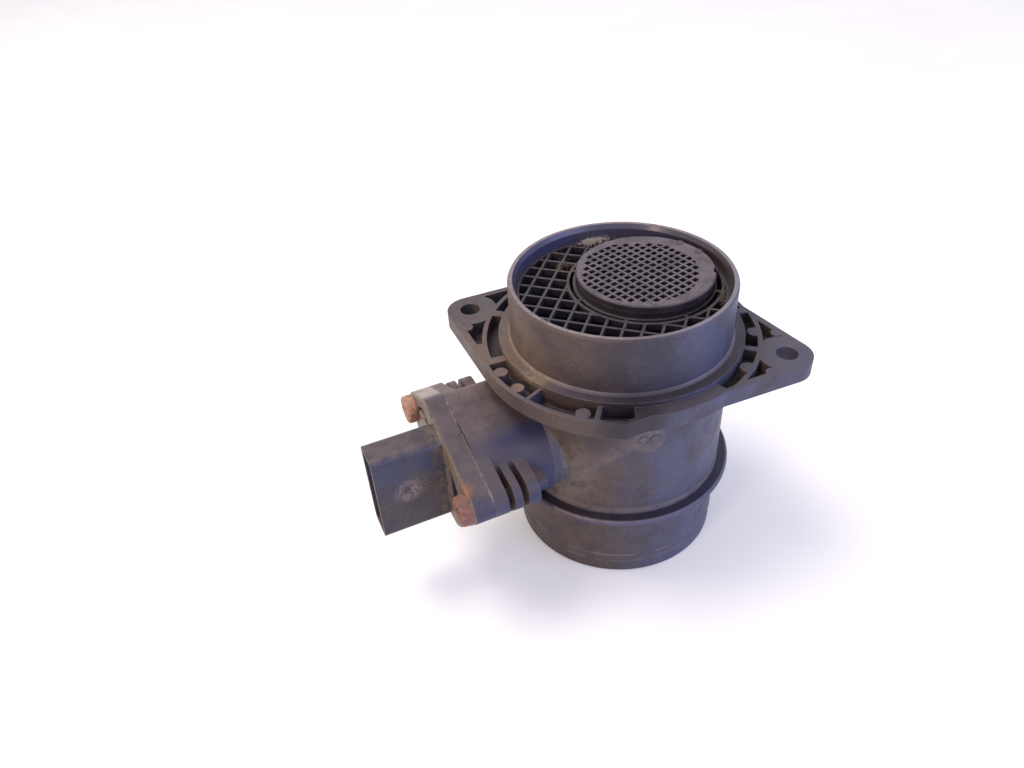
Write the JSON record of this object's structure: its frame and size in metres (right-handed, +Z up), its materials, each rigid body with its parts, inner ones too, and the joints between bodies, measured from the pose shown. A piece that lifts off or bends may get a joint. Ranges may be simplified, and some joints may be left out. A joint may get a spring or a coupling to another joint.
{
  "type": "mass airflow sensor",
  "caption": "Short moulded air duct with a flange, an inlet grille, an off-centre screened measuring tube and a plug-in sensing element with a connector socket.",
  "frame": {"origin": "centre of the outlet end face, on the duct axis", "axes": "+Z up the duct axis towards the inlet collar, +X through the right-hand hole of the flange, the connector at 223 degrees round from +X"},
  "size_m": [0.1287, 0.1134, 0.0986],
  "materials": {
    "housing": "moulded, matt with a fine sheen",
    "grille": "moulded, matt",
    "tube": "moulded, matt",
    "screen": "moulded, matt",
    "element": "moulded, matt",
    "seal": "smooth",
    "screws": "rusted heads",
    "carrier": "satin",
    "board": "fired, matt",
    "chips": "moulded",
    "capacitors": "fired",
    "silicon": "polished",
    "bead": "coated bead",
    "terminals": "tinned"
  },
  "bodies": {
    "root": {"housing": "housing", "inlet_grille": "grille", "inner_tube": "tube", "dirt_screen": "screen", "sensor_body": "element", "circuit_cover": "element", "channel_cover": "element", "sensor_seal": "seal", "sensor_screws": "screws", "carrier_plate": "carrier", "circuit_board": "board", "evaluation_chip": "chips", "capacitor_1": "capacitors", "capacitor_2": "capacitors", "capacitor_3": "capacitors", "sensor_chip": "silicon", "air_temperature_sensor": "bead", "terminal_1": "terminals", "terminal_2": "terminals", "terminal_3": "terminals", "terminal_4": "terminals", "terminal_5": "terminals"}
  },
  "joints": []
}
